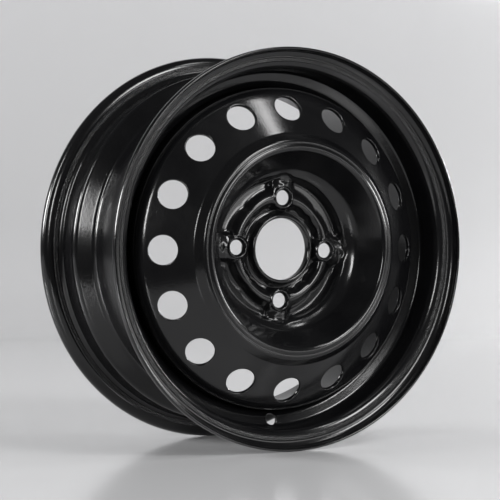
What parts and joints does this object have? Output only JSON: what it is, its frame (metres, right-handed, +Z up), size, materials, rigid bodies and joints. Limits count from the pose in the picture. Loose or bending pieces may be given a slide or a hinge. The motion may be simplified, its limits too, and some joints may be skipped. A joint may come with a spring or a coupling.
{
  "type": "steel wheel",
  "caption": "Pressed steel car wheel: a rolled drop-centre rim welded to a dished disc with a ring of round vents, conical bolt seats and a centring bore. Gloss black.",
  "frame": {"origin": "the wheel's centre: on the axle line, halfway between the two flange walls", "axes": "+Y along the axle towards the vehicle, so the outer face looks to -Y; +Z up with the valve hole near the bottom; +X to the right seen from the front"},
  "size_m": [0.3894, 0.1743, 0.3892],
  "materials": {
    "black_paint": "semi-gloss black stove enamel over pressed steel"
  },
  "bodies": {
    "root": {"rim": "black_paint", "disc": "black_paint", "weld_beads": "black_paint"}
  },
  "joints": []
}
